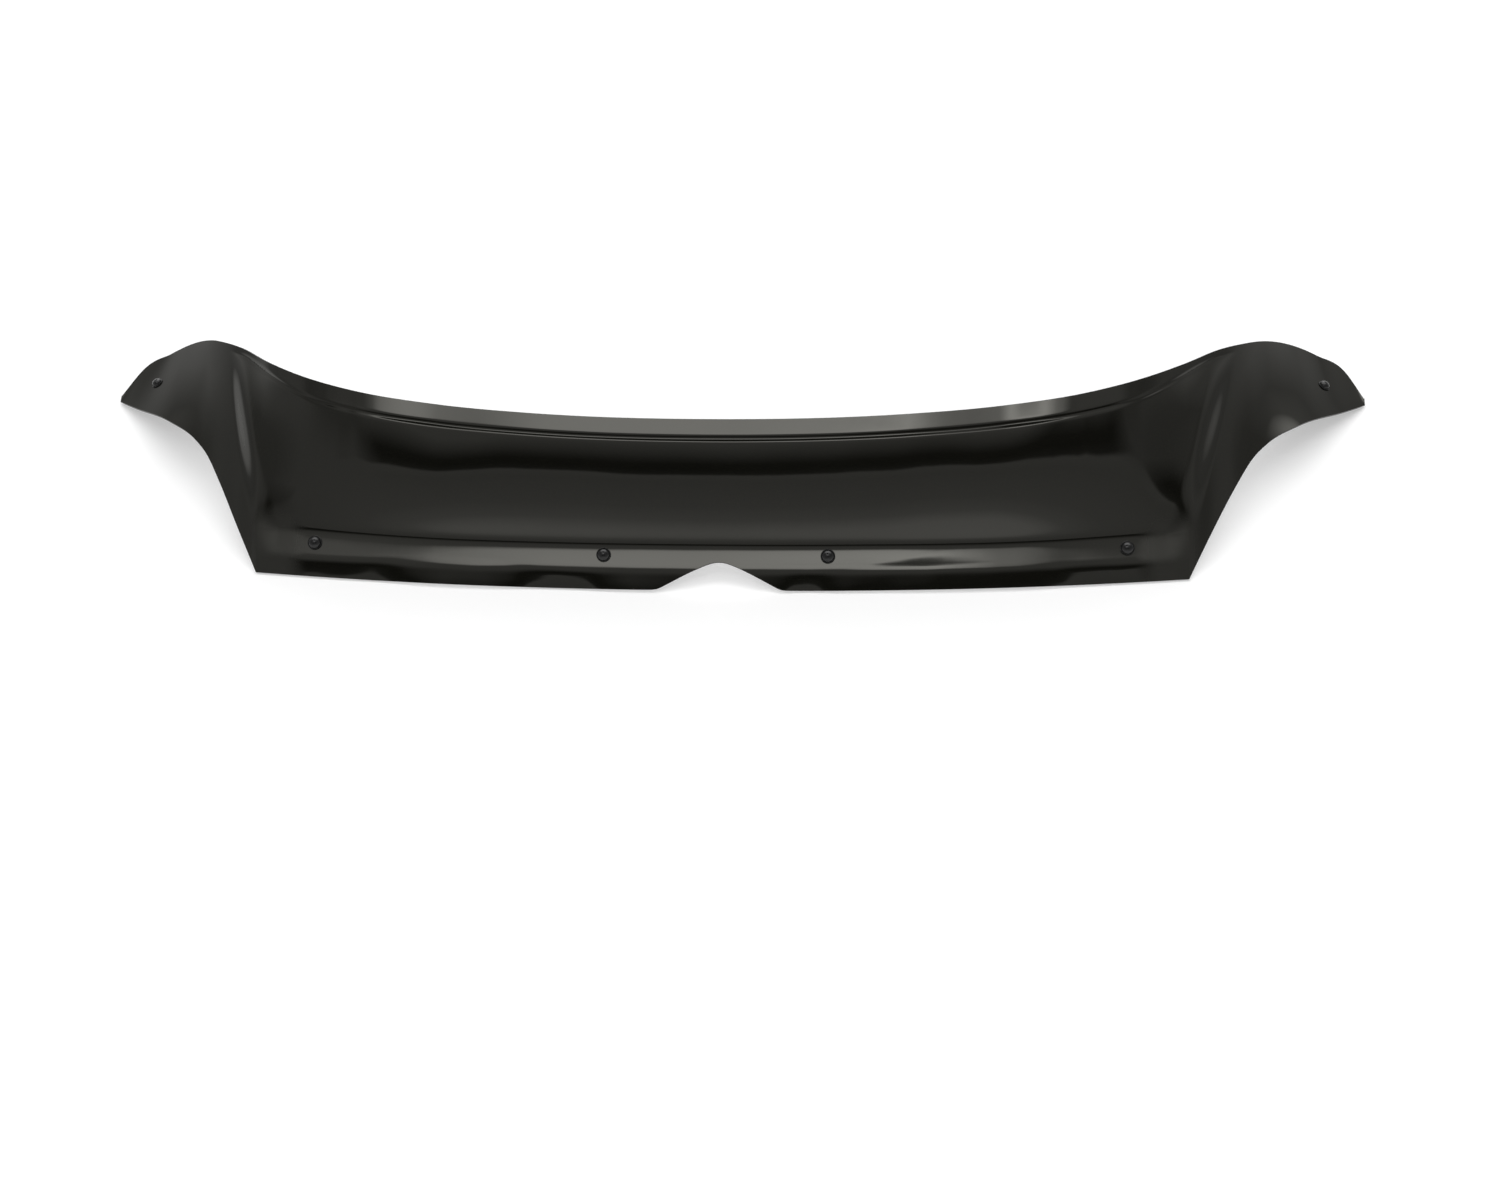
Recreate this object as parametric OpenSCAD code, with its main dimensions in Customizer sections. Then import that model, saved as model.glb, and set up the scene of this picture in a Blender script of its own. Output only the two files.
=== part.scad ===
// Hood bug deflector: one thermoformed sheet of smoked acrylic with six capped screw fixings.
// The sheet is a height over its draw plane, the plane that the flat blank lay in before forming.
// In that plane x runs across the vehicle and w runs up the sheet; h is the drawn height.

/* [Sheet] */
// Width from wing tip to wing tip
span = 1432; // [1300:2:1560]
// Distance between the two sharp lower corners
corner_span = 996; // [900:2:1080]
// Thickness of the acrylic sheet
sheet_t = 3; // [2.4:0.1:4]
// Tilt of the draw plane, from upright, when the sheet lies at rest
draw_tilt = 45; // [40:0.5:50]
// How far the middle of the lower edge bows in front of the corners
bow = 22.5; // [5:0.5:40]
// Height of the top edge above the corners, in the draw plane, at the middle
mid_top_w = 165; // [140:1:190]
// Drawn height of the top edge at the middle
mid_top_h = 24; // [14:1:36]

/* [Flange and panel] */
// Width of the lower flange, from its edge to the fold
flange_w = 49; // [40:1:60]
// Slope of the flange's edge strip, in the middle, against the draw plane
flange_edge_angle = 3; // [-4:1:16]
// Slope of the flange above its roll, in the middle
flange_fold_angle = -14; // [-20:1:-4]
// Slope of the raised panel just above the fold, in the middle
panel_foot_angle = 22; // [14:1:28]
// Rounding of the fold between flange and panel
fold_round = 5; // [3:0.5:8]
// Width of the lip along the top edge
lip_w = 21; // [14:1:26]
// Slope of the lip
lip_angle = -12; // [-18:1:-6]
// Depth of the crease line under the lip
crease_d = 0.8; // [0.4:0.1:1.4]
// Distance from the lower corners to the ends of the fold
corner_to_fold_end = 9; // [6:1:24]
// Half the width of the soft bend along each end of the panel
side_soft = 16; // [10:1:22]

/* [Wings] */
// Height of the wings' upper edge above the corners, in the draw plane
wing_top_w = 268; // [240:1:300]
// Drawn height of the wings' rear edge, behind the draw plane
wing_back_h = -235; // [-260:1:-210]
// Height of the wing tips above the corners, in the draw plane
tip_w = 199; // [185:1:215]
// Drawn height of the wing tips
tip_h = -197; // [-205:1:-190]
// Width of the blunt end of each tip
tip_blunt = 7; // [4:0.5:12]

/* [Notch] */
// Left corner of the notch in the lower edge
notch_left = -62; // [-72:1:-45]
// Apex of the notch
notch_apex = 4; // [-8:1:12]
// Right corner of the notch
notch_right = 70; // [45:1:80]
// Height of the notch
notch_h = 30; // [20:1:36]

/* [Fixings] */
// Place of the inner flange fixings across the part
inner_x = 119; // [100:1:160]
// Distance of the outer flange fixings from the lower corners, across the part
corner_to_outer = 65; // [54:1:110]
// Distance of the flange fixings from the fold
fold_to_fixing = 12.5; // [11:0.5:20]
// Distance of the wing fixings from the tips, across the part
tip_to_wing_fixing = 48; // [42:1:66]
// Place of the wing fixings between the side edge and the upper edge, as a share
wing_fixing_share = 0.47; // [0.42:0.01:0.54]
// Diameter of the flange caps' collars
flange_cap_d = 15.5; // [14:0.5:18]
// Diameter of the wing caps' collars
wing_cap_d = 13.5; // [12.5:0.5:16]
// Wall of the snap-on caps
cap_wall = 1; // [0.8:0.1:1.4]
// Diameter of the screw thread
screw_d = 5; // [4:0.5:5.5]
// Thickness of the collar under each cap
collar_t = 1.4; // [1:0.1:2]
// Thickness of the rubber spacer behind the sheet
spacer_t = 3; // [2:0.5:4]
// Thickness of the spring steel of the clips
clip_t = 0.8; // [0.6:0.1:1]
// Gap of the clips, for the edge of the hood
clip_gap = 2.4; // [1.5:0.1:3]
// Width of the clips
clip_w = 12; // [10:0.5:14]
// Length of the clips
clip_l = 18; // [15:0.5:22]

/* [Hidden] */

tip_x = span / 2;
corner_x = corner_span / 2;
side_x = corner_x - corner_to_fold_end;
outer_x = corner_x - corner_to_outer;
wing_x = tip_x - tip_to_wing_fixing;
bow_power = 2.2;
mid_rise = wing_top_w - mid_top_w;
mid_sink = wing_back_h - mid_top_h;

// Top edge from the middle to the tip: place, share of the rise in w, share of the sink in h
top_shape = [
    [0, 0, 0],
    [0.4 * corner_x, 0.06, 0.0085],
    [0.6 * corner_x, 0.15, 0.03],
    [0.78 * corner_x, 0.29, 0.048],
    [0.9 * corner_x, 0.45, 0.103],
    [corner_x, 0.64, 0.2335],
    [corner_x + 0.19 * (tip_x - corner_x), 0.83, 0.423],
    [corner_x + 0.32 * (tip_x - corner_x), 0.925, 0.57],
    [corner_x + 0.46 * (tip_x - corner_x), 1, 0.732],
    [corner_x + 0.65 * (tip_x - corner_x), 1, 0.927],
    [corner_x + 0.78 * (tip_x - corner_x), 0.915, 1],
    [corner_x + 0.93 * (tip_x - corner_x), 0.7, 0.963]];

// Side edge from the lower corner to the tip: place, share of the tip's w, share of the tip's h
side_shape = [
    [0, 0, 0],
    [0.115, 0.25, 0.07],
    [0.245, 0.5, 0.21],
    [0.335, 0.65, 0.31],
    [0.43, 0.75, 0.405],
    [0.6, 0.855, 0.55],
    [0.88, 0.955, 0.87],
    [1, 1, 1]];

// Cubic curve through points [place, a, b], read at x, for the value in the given column
function secant(p, i, c) = (p[i + 1][c] - p[i][c]) / (p[i + 1][0] - p[i][0]);
function knot_slope(p, i, c) =
    i == 0 ? secant(p, 0, c) :
    i == len(p) - 1 ? secant(p, i - 1, c) :
    let (a = p[i][0] - p[i - 1][0], b = p[i + 1][0] - p[i][0])
    (secant(p, i - 1, c) * b + secant(p, i, c) * a) / (a + b);
function span_of(p, x, i = 0) = i >= len(p) - 2 || x < p[i + 1][0] ? i : span_of(p, x, i + 1);
function hermite(t, v0, v1, s0, s1) =
    v0 * (1 + 2 * t) * (1 - t) * (1 - t) + s0 * t * (1 - t) * (1 - t)
    + v1 * t * t * (3 - 2 * t) - s1 * t * t * (1 - t);
function curve(p, x, c) =
    let (i = span_of(p, x), d = p[i + 1][0] - p[i][0])
    hermite((x - p[i][0]) / d, p[i][c], p[i + 1][c], knot_slope(p, i, c) * d, knot_slope(p, i + 1, c) * d);

function clamp(v) = min(1, max(0, v));
function smooth(v) = let (s = clamp(v)) s * s * (3 - 2 * s);
function mix(a, b, k) = a + (b - a) * k;

// Edges of the sheet in the draw plane, as [w, h] at a place x from the middle
top_points = concat(
    [[-0.4 * corner_x, mid_top_w + mid_rise * top_shape[1][1], mid_top_h + mid_sink * top_shape[1][2]]],
    [for (s = top_shape) [s[0], mid_top_w + mid_rise * s[1], mid_top_h + mid_sink * s[2]]],
    [[tip_x, tip_w + tip_blunt, tip_h - tip_blunt / 2]]);
side_points = [for (s = side_shape) [corner_x + s[0] * (tip_x - corner_x), tip_w * s[1], tip_h * s[2]]];
function top_edge(x) = [curve(top_points, x, 1), curve(top_points, x, 2)];
function bottom_y(x) = -bow * (1 - pow(min(1, x / corner_x), bow_power));
function bottom_edge(x) = [bottom_y(x) * sin(draw_tilt), -bottom_y(x) * cos(draw_tilt)];
function low_edge(x) = x <= corner_x ? bottom_edge(x) : [curve(side_points, x, 1), curve(side_points, x, 2)];

// Flange and raised panel, which end at the soft bends near the lower corners
flatten_start = 0.55;
roll_from = 0.27;
roll_to = 0.58;
end_edge_slope = 0.05;
end_fold_slope = -0.3;
end_foot_slope = 0.15;
lip_end_w = 8;
lip_narrow_from = 0.86;
lip_narrow_over = 0.22;
side_lean = 0.283;
crease_half = 2.5;
function to_end(x) = smooth((x / corner_x - flatten_start) / (1 - flatten_start));
function edge_slope(x) = mix(tan(flange_edge_angle), end_edge_slope, to_end(x));
function fold_slope(x) = mix(tan(flange_fold_angle), end_fold_slope, to_end(x));
function foot_slope(x) = mix(tan(panel_foot_angle), end_foot_slope, to_end(x));
function lip_width(x) = mix(lip_w, lip_end_w, smooth((x / corner_x - lip_narrow_from) / lip_narrow_over));
function fold_w(x) = bottom_edge(x)[0] + flange_w;
function roll_run(t) =
    let (s = clamp((t - roll_from) / (roll_to - roll_from)))
    (roll_to - roll_from) * s * s * s * (1 - s / 2) + max(0, t - roll_to);
function flange_height(x, t) =
    bottom_edge(x)[1] + flange_w * (edge_slope(x) * t + (fold_slope(x) - edge_slope(x)) * roll_run(t));
function fold_h(x) = flange_height(x, 1);
function crease_w(x) = top_edge(x)[0] - lip_width(x);
function crease_h(x) = top_edge(x)[1] - lip_width(x) * tan(lip_angle);
function panel_height(x, d) =
    let (l = crease_w(x) - fold_w(x), mean = (crease_h(x) - fold_h(x)) / l)
    fold_h(x) + foot_slope(x) * d + (mean - foot_slope(x)) * d * d / l;
function lip_height(x, d) = crease_h(x) + tan(lip_angle) * d;
function body_height(x, w) =
    let (d = w - fold_w(x), e = w - crease_w(x))
    (d < 0 ? flange_height(x, 1 + d / flange_w) : e < 0 ? panel_height(x, d) : lip_height(x, e))
    + (foot_slope(x) - fold_slope(x)) / 2 * (sqrt(d * d + fold_round * fold_round) - abs(d))
    - crease_d * exp(-pow(e / crease_half, 2));

// Wing surface: a shallow cubic crown between the side edge and the top edge
wing_low_bulge = 0.15;
wing_high_bulge = 0.05;
function wing_height(x, w) =
    let (a = low_edge(x), b = top_edge(x), d = b[0] - a[0], chord = b[1] - a[1])
    hermite((w - a[0]) / d, a[1], b[1], chord + wing_low_bulge * d, chord - wing_high_bulge * d);
function side_line(w, x) = side_x + side_lean * max(0, w - fold_w(x));
function height_right(x, w) =
    let (m = smooth((side_line(w, x) + side_soft - x) / (2 * side_soft)))
    mix(wing_height(x, w), body_height(x, w), m);
function height(x, w) = height_right(min(abs(x), tip_x), w);

// Points and normals of the outer face, in the part's frame, before it is set on its lowest rim
function to_part(p) = [
    p[0],
    p[1] * sin(draw_tilt) - p[2] * cos(draw_tilt),
    p[1] * cos(draw_tilt) + p[2] * sin(draw_tilt)];
probe = 0.5;
function unit(v) = v / norm(v);
function normal(x, w) = unit(to_part([
    -(height(x + probe, w) - height(x - probe, w)) / (2 * probe),
    -(height(x, w + probe) - height(x, w - probe)) / (2 * probe),
    1]));
function face_point(x, w, depth) = to_part([x, w, height(x, w)]) - normal(x, w) * depth;

// Notch in the lower edge, with a rounded apex and soft corners
notch_round = 0.22;
notch_corner = 0.06;
function notch_share(x) =
    let (d = x < notch_apex ? (notch_apex - x) / (notch_apex - notch_left) : (x - notch_apex) / (notch_right - notch_apex))
    let (s = 1 - (sqrt(d * d + notch_round * notch_round) - notch_round)
        / (sqrt(1 + notch_round * notch_round) - notch_round))
    (s + sqrt(s * s + notch_corner * notch_corner)) / 2;
function cut_w(x) = low_edge(abs(x))[0] + notch_h * notch_share(x);

// Columns of the grid across the part, closer together where the outline turns
notch_steps = 8;
body_steps = 16;
wing_steps = 26;
body_crowding = 1.4;
wing_crowding = 1.3;
body_cols = [for (i = [1:body_steps]) 1 - pow(1 - i / body_steps, body_crowding)];
wing_cols = [for (i = [1:wing_steps]) mix(corner_x, tip_x, 1 - pow(1 - i / wing_steps, wing_crowding))];
right_cols = concat([for (k = body_cols) mix(notch_right, corner_x, k)], wing_cols);
left_cols = concat([for (k = body_cols) mix(notch_left, -corner_x, k)], -wing_cols);
notch_cols = concat(
    [for (i = [0:notch_steps]) mix(notch_left, notch_apex, i / notch_steps)],
    [for (i = [1:notch_steps + 1]) mix(notch_apex, notch_right, i / (notch_steps + 1))]);
cols = concat([for (i = [len(left_cols) - 1:-1:0]) left_cols[i]], notch_cols, right_cols);

// Rows of the grid: on the body they follow the fold and the crease, on the wings they are even
fold_zone = 6;
crease_zone = 5;
row_gap = 1;
wing_row_blend = 32;
row_knots = [[0, 5], [1, 3], [2, 6], [3, 4], [4, 1]];
row_steps = [for (k = row_knots) each [for (i = [0:k[1] - 1]) k[0] + i / k[1]]];
rows = concat(row_steps, [5]);
function body_row(x, r) =
    let (
        low = cut_w(x),
        marks = [low,
            max(fold_w(abs(x)) - fold_zone, low + row_gap),
            max(fold_w(abs(x)) + fold_zone, low + 2 * row_gap),
            crease_w(abs(x)) - crease_zone,
            min(crease_w(abs(x)) + crease_zone, top_edge(abs(x))[0] - row_gap),
            top_edge(abs(x))[0]],
        i = min(4, floor(r)))
    mix(marks[i], marks[i + 1], r - i);
function row_w(x, j) =
    let (k = smooth((abs(x) - side_x) / (corner_x + wing_row_blend - side_x)))
    mix(body_row(x, rows[j]), mix(cut_w(x), top_edge(abs(x))[0], j / (len(rows) - 1)), k);

n_rows = len(rows);
n_cols = len(cols);

// Move that puts the origin below the middle of the part, on the surface that its rim lies on
rim_points = [for (x = cols) for (w = [cut_w(x), top_edge(abs(x))[0]]) for (d = [0, sheet_t]) face_point(x, w, d)];
rim_y = [for (p = rim_points) p[1]];
rim_z = [for (p = rim_points) p[2]];
settle = [0, -(min(rim_y) + max(rim_y)) / 2, -min(rim_z)];

// Closed surface from the two faces and the rim between them
function grid_points() =
    let (
        samples = [for (x = cols) for (j = [0:n_rows - 1])
            let (w = row_w(x, j)) [to_part([x, w, height(x, w)]) + settle, normal(x, w)]])
    concat([for (s = samples) s[0]], [for (s = samples) s[0] - s[1] * sheet_t]);
function at(side, i, j) = side * n_cols * n_rows + i * n_rows + j;
function quad(a, b, c, d) = [[a, b, c], [a, c, d]];
function grid_faces() =
    let (rim = n_cols - 1, top = n_rows - 1)
    concat(
        [for (i = [0:rim - 1]) for (j = [0:top - 1])
            each quad(at(0, i, j), at(0, i, j + 1), at(0, i + 1, j + 1), at(0, i + 1, j))],
        [for (i = [0:rim - 1]) for (j = [0:top - 1])
            each quad(at(1, i, j), at(1, i + 1, j), at(1, i + 1, j + 1), at(1, i, j + 1))],
        [for (i = [0:rim - 1]) each quad(at(0, i, 0), at(0, i + 1, 0), at(1, i + 1, 0), at(1, i, 0))],
        [for (i = [0:rim - 1]) each quad(at(0, i, top), at(1, i, top), at(1, i + 1, top), at(0, i + 1, top))],
        [for (j = [0:top - 1]) each quad(at(0, 0, j), at(1, 0, j), at(1, 0, j + 1), at(0, 0, j + 1))],
        [for (j = [0:top - 1]) each quad(at(0, rim, j), at(0, rim, j + 1), at(1, rim, j + 1), at(1, rim, j))]);

// Fixings: place on the sheet, cap diameter, and the seats that clear the curved sheet in front and behind
seat_clear = 0.1;
ring_step = 15;
function ring_heights(x, w, r) =
    let (n = normal(x, w), c = face_point(x, w, 0))
    [for (a = [0:ring_step:360 - ring_step]) (face_point(x + r * cos(a), w + r * sin(a), 0) - c) * n];
function fixing(x, w, cap_d) = [x, w, cap_d,
    seat_clear + max(0, max(ring_heights(x, w, cap_d / 2))),
    seat_clear - min(0, min(ring_heights(x, w, clip_w / 2)))];
function flange_place(x) = fixing(x, fold_w(abs(x)) - fold_to_fixing, flange_cap_d);
function wing_place(x) = fixing(x, mix(low_edge(abs(x))[0], top_edge(abs(x))[0], wing_fixing_share), wing_cap_d);
wing_left = wing_place(-wing_x);
outer_left = flange_place(-outer_x);
inner_left = flange_place(-inner_x);
inner_right = flange_place(inner_x);
outer_right = flange_place(outer_x);
wing_right = wing_place(wing_x);
all_fixings = [wing_left, outer_left, inner_left, inner_right, outer_right, wing_right];

// Stack of each fixing along the sheet's normal, from the outer face at zero
bore_clear = 0.4;
dome_flat = 0.75;
cap_inset = 0.5;
head_h = 2.6;
head_d = screw_d * 1.8;
cross_l = head_d * 0.55;
cross_w = 1.1;
cross_depth = 1.2;
collar_floor = collar_t * 0.5;
hole_d = screw_d + 3 * bore_clear;
shank_end = 2;
nut_h = 1.8;
nut_wall = 1.5;
thread_clear = 0.1;
join = 0.1;
function clip_top(f) = -sheet_t - f[4] - spacer_t;
function clip_bottom(f) = clip_top(f) - 2 * clip_t - clip_gap;
function shank_bottom(f) = clip_bottom(f) - nut_h - shank_end;

module at_fixing(f) {
    n = normal(f[0], f[1]);
    translate(face_point(f[0], f[1], 0) + settle)
        rotate([0, acos(n[2]), atan2(n[1], n[0])]) children();
}

module deflector_shell() {
    color([0.1, 0.1, 0.09])
    difference() {
        polyhedron(points = grid_points(), faces = grid_faces());
        for (f = all_fixings)
            at_fixing(f) translate([0, 0, -2 * sheet_t]) cylinder(d = hole_d, h = 4 * sheet_t, $fn = 32);
    }
}

// Snap-on dome: a hollow cap whose rim clips over the collar's shoulder
module cap(f) {
    color([0.05, 0.05, 0.05])
    at_fixing(f) translate([0, 0, f[3] + collar_t]) rotate_extrude($fn = 48) dome_profile(f[2] / 2 - cap_inset);
}

module dome_profile(r) {
    intersection() {
        square([r, r]);
        difference() {
            scale([1, dome_flat]) circle(r = r, $fn = 64);
            scale([1, dome_flat]) circle(r = r - cap_wall, $fn = 64);
        }
    }
}

// Collar: the flat washer that the cap clips to, with a recess for the screw head
module collar(f) {
    color([0.05, 0.05, 0.05])
    at_fixing(f) translate([0, 0, f[3]]) difference() {
        cylinder(d = f[2], h = collar_t, $fn = 48);
        translate([0, 0, collar_floor]) cylinder(d = head_d + 2 * bore_clear, h = collar_t, $fn = 48);
        translate([0, 0, -collar_t]) cylinder(d = screw_d + 2 * bore_clear, h = 3 * collar_t, $fn = 32);
    }
}

// Screw: pan head with a cross recess under the cap, and a shank through sheet, spacer and clip
module screw(f) {
    color("silver")
    at_fixing(f) difference() {
        union() {
            translate([0, 0, f[3] + collar_floor]) cylinder(d = head_d, h = head_h, $fn = 32);
            translate([0, 0, shank_bottom(f)])
                cylinder(d = screw_d, h = f[3] + collar_floor - shank_bottom(f) + join, $fn = 32);
        }
        for (a = [0, 90])
            translate([0, 0, f[3] + collar_floor + head_h]) rotate([0, 0, a])
                cube([cross_l, cross_w, 2 * cross_depth], center = true);
    }
}

// Rubber spacer between the sheet and the clip
module spacer(f) {
    color([0.12, 0.12, 0.12])
    at_fixing(f) translate([0, 0, clip_top(f)]) difference() {
        cylinder(d = clip_w, h = spacer_t, $fn = 48);
        translate([0, 0, -1]) cylinder(d = screw_d + 2 * bore_clear, h = spacer_t + 2, $fn = 32);
    }
}

// Spring clip for the edge of the hood: a folded strip with a screw collar on its lower leaf
module clip(f) {
    color("silver")
    at_fixing(f) difference() {
        union() {
            rotate([90, 0, 0]) translate([0, 0, -clip_w / 2]) linear_extrude(clip_w) clip_profile(f);
            translate([0, 0, clip_bottom(f) - nut_h])
                cylinder(d = screw_d + 2 * nut_wall, h = nut_h + join, $fn = 32);
        }
        translate([0, 0, clip_bottom(f) - nut_h - 1])
            cylinder(d = screw_d + 2 * thread_clear, h = clip_top(f) - clip_bottom(f) + nut_h + 2, $fn = 32);
    }
}

module clip_profile(f) {
    translate([-clip_l / 2, clip_bottom(f)]) difference() {
        square([clip_l, clip_top(f) - clip_bottom(f)]);
        translate([-1, clip_t]) square([clip_l + 1 - clip_t, clip_gap]);
    }
}

deflector_shell();
cap(wing_left);  // wing_left_cap
collar(wing_left);  // wing_left_collar
screw(wing_left);  // wing_left_screw
spacer(wing_left);  // wing_left_spacer
clip(wing_left);  // wing_left_clip
cap(outer_left);  // outer_left_cap
collar(outer_left);  // outer_left_collar
screw(outer_left);  // outer_left_screw
spacer(outer_left);  // outer_left_spacer
clip(outer_left);  // outer_left_clip
cap(inner_left);  // inner_left_cap
collar(inner_left);  // inner_left_collar
screw(inner_left);  // inner_left_screw
spacer(inner_left);  // inner_left_spacer
clip(inner_left);  // inner_left_clip
cap(inner_right);  // inner_right_cap
collar(inner_right);  // inner_right_collar
screw(inner_right);  // inner_right_screw
spacer(inner_right);  // inner_right_spacer
clip(inner_right);  // inner_right_clip
cap(outer_right);  // outer_right_cap
collar(outer_right);  // outer_right_collar
screw(outer_right);  // outer_right_screw
spacer(outer_right);  // outer_right_spacer
clip(outer_right);  // outer_right_clip
cap(wing_right);  // wing_right_cap
collar(wing_right);  // wing_right_collar
screw(wing_right);  // wing_right_screw
spacer(wing_right);  // wing_right_spacer
clip(wing_right);  // wing_right_clip
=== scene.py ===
"""Hood bug deflector: the smooth smoked sheet, its fixings, the studio and the camera."""
import math
import bmesh
import bpy
import numpy as np
from mathutils import Matrix, Vector


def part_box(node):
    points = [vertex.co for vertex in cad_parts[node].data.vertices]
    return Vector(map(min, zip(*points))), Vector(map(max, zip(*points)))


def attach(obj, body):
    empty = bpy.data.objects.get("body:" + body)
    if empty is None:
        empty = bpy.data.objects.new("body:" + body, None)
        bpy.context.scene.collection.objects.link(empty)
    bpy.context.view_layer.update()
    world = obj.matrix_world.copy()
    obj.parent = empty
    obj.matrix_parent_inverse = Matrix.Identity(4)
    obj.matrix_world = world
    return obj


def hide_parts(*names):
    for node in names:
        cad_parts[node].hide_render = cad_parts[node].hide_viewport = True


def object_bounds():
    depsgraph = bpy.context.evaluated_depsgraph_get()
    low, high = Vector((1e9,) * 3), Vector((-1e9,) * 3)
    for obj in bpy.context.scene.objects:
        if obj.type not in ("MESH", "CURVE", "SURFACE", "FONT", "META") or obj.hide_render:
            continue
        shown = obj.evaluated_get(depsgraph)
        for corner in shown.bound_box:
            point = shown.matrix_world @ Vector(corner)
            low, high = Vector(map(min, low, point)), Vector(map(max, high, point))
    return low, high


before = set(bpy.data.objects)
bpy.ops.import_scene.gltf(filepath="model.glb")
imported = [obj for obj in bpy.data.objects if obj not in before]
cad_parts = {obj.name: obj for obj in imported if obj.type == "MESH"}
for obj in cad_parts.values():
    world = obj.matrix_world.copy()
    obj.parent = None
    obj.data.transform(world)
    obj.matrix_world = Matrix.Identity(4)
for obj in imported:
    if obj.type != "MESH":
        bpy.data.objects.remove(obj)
cad_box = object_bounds()
scene = bpy.context.scene

# Sizes of the sheet in millimetres, as in the part's source
SPAN = 1432
CORNER_SPAN = 996
SHEET_T = 3
DRAW_TILT = math.radians(45)
BOW = 22.5
MID_TOP_W = 165
MID_TOP_H = 24
FLANGE_W = 49
FLANGE_EDGE_SLOPE = math.tan(math.radians(3))
FLANGE_FOLD_SLOPE = math.tan(math.radians(-14))
ROLL_FROM = 0.27
ROLL_TO = 0.58
PANEL_FOOT_SLOPE = math.tan(math.radians(22))
FOLD_ROUND = 5
LIP_W = 21
LIP_SLOPE = math.tan(math.radians(-12))
LIP_END_W = 8
LIP_END_FROM = 0.86
LIP_END_REACH = 0.22
CREASE_D = 0.8
CREASE_REACH = 2.5
CORNER_TO_FOLD_END = 9
SIDE_SOFT = 16
SIDE_LEAN = 0.283
WING_TOP_W = 268
WING_BACK_H = -235
TIP_W = 199
TIP_H = -197
TIP_BLUNT = 7
WING_FOOT_BEND = 0.15
WING_TOP_BEND = 0.05
NOTCH_LEFT = -62
NOTCH_APEX = 4
NOTCH_RIGHT = 70
NOTCH_H = 30
NOTCH_TIP_ROUND = 0.22
NOTCH_FOOT_ROUND = 0.06
INNER_X = 119
CORNER_TO_OUTER = 65
FOLD_TO_FIXING = 12.5
TIP_TO_WING_FIXING = 48
WING_FIXING_SHARE = 0.47
FLANGE_CAP_D = 15.5
WING_CAP_D = 13.5
CAP_WALL = 1
CAP_INSET = 0.5
DOME_FLAT = 0.75
SCREW_D = 5
HEAD_D = 9
BORE_CLEAR = 0.4
HOLE_D = 6.2
COLLAR_T = 1.4
COLLAR_FLOOR = 0.7
SPACER_T = 3
CLIP_W = 12
SEAT_CLEAR = 0.1

TIP_X = SPAN / 2
CORNER_X = CORNER_SPAN / 2
WING_LEN = TIP_X - CORNER_X
SIDE_X = CORNER_X - CORNER_TO_FOLD_END
BOW_POWER = 2.2

# Slopes that the flange, its fold and the panel's foot reach at the ends, and where they start to change
END_EDGE_SLOPE = 0.05
END_FOLD_SLOPE = -0.3
END_FOOT_SLOPE = 0.15
END_FROM = 0.55
END_REACH = 0.45

# Top edge from the middle to the tip: place, share of the rise in w, share of the sink in h
TOP_SHAPE = [
    (0, 0, 0),
    (0.4 * CORNER_X, 0.06, 0.0085),
    (0.6 * CORNER_X, 0.15, 0.03),
    (0.78 * CORNER_X, 0.29, 0.048),
    (0.9 * CORNER_X, 0.45, 0.103),
    (CORNER_X, 0.64, 0.2335),
    (CORNER_X + 0.19 * WING_LEN, 0.83, 0.423),
    (CORNER_X + 0.32 * WING_LEN, 0.925, 0.57),
    (CORNER_X + 0.46 * WING_LEN, 1, 0.732),
    (CORNER_X + 0.65 * WING_LEN, 1, 0.927),
    (CORNER_X + 0.78 * WING_LEN, 0.915, 1),
    (CORNER_X + 0.93 * WING_LEN, 0.7, 0.963)]

# Side edge from the lower corner to the tip: place, share of the tip's w, share of the tip's h
SIDE_SHAPE = [
    (0, 0, 0),
    (0.115, 0.25, 0.07),
    (0.245, 0.5, 0.21),
    (0.335, 0.65, 0.31),
    (0.43, 0.75, 0.405),
    (0.6, 0.855, 0.55),
    (0.88, 0.955, 0.87),
    (1, 1, 1)]


def mix(a, b, k):
    return a + (b - a) * k


def smooth(v):
    s = np.clip(v, 0, 1)
    return s * s * (3 - 2 * s)


def hermite(t, v0, v1, s0, s1):
    return (v0 * (1 + 2 * t) * (1 - t) ** 2 + s0 * t * (1 - t) ** 2
            + v1 * t * t * (3 - 2 * t) - s1 * t * t * (1 - t))


def top_point(place, rise, sink):
    return place, MID_TOP_W + (WING_TOP_W - MID_TOP_W) * rise, MID_TOP_H + (WING_BACK_H - MID_TOP_H) * sink


mirrored = top_point(-TOP_SHAPE[1][0], TOP_SHAPE[1][1], TOP_SHAPE[1][2])
tip_end = (TIP_X, TIP_W + TIP_BLUNT, TIP_H - TIP_BLUNT / 2)
TOP_POINTS = np.array([mirrored] + [top_point(*s) for s in TOP_SHAPE] + [tip_end], float)
SIDE_POINTS = np.array([(CORNER_X + s * WING_LEN, TIP_W * a, TIP_H * b) for s, a, b in SIDE_SHAPE], float)


def curve(points, x, column):
    """Cubic curve through the points, read at x."""
    place = points[:, 0]
    value = points[:, column]
    gap = np.diff(place)
    secant = np.diff(value) / gap
    slope = np.empty(len(points))
    slope[0] = secant[0]
    slope[-1] = secant[-1]
    slope[1:-1] = (secant[:-1] * gap[1:] + secant[1:] * gap[:-1]) / (gap[:-1] + gap[1:])
    i = np.clip(np.searchsorted(place, x, side="right") - 1, 0, len(points) - 2)
    d = gap[i]
    return hermite((x - place[i]) / d, value[i], value[i + 1], slope[i] * d, slope[i + 1] * d)


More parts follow.
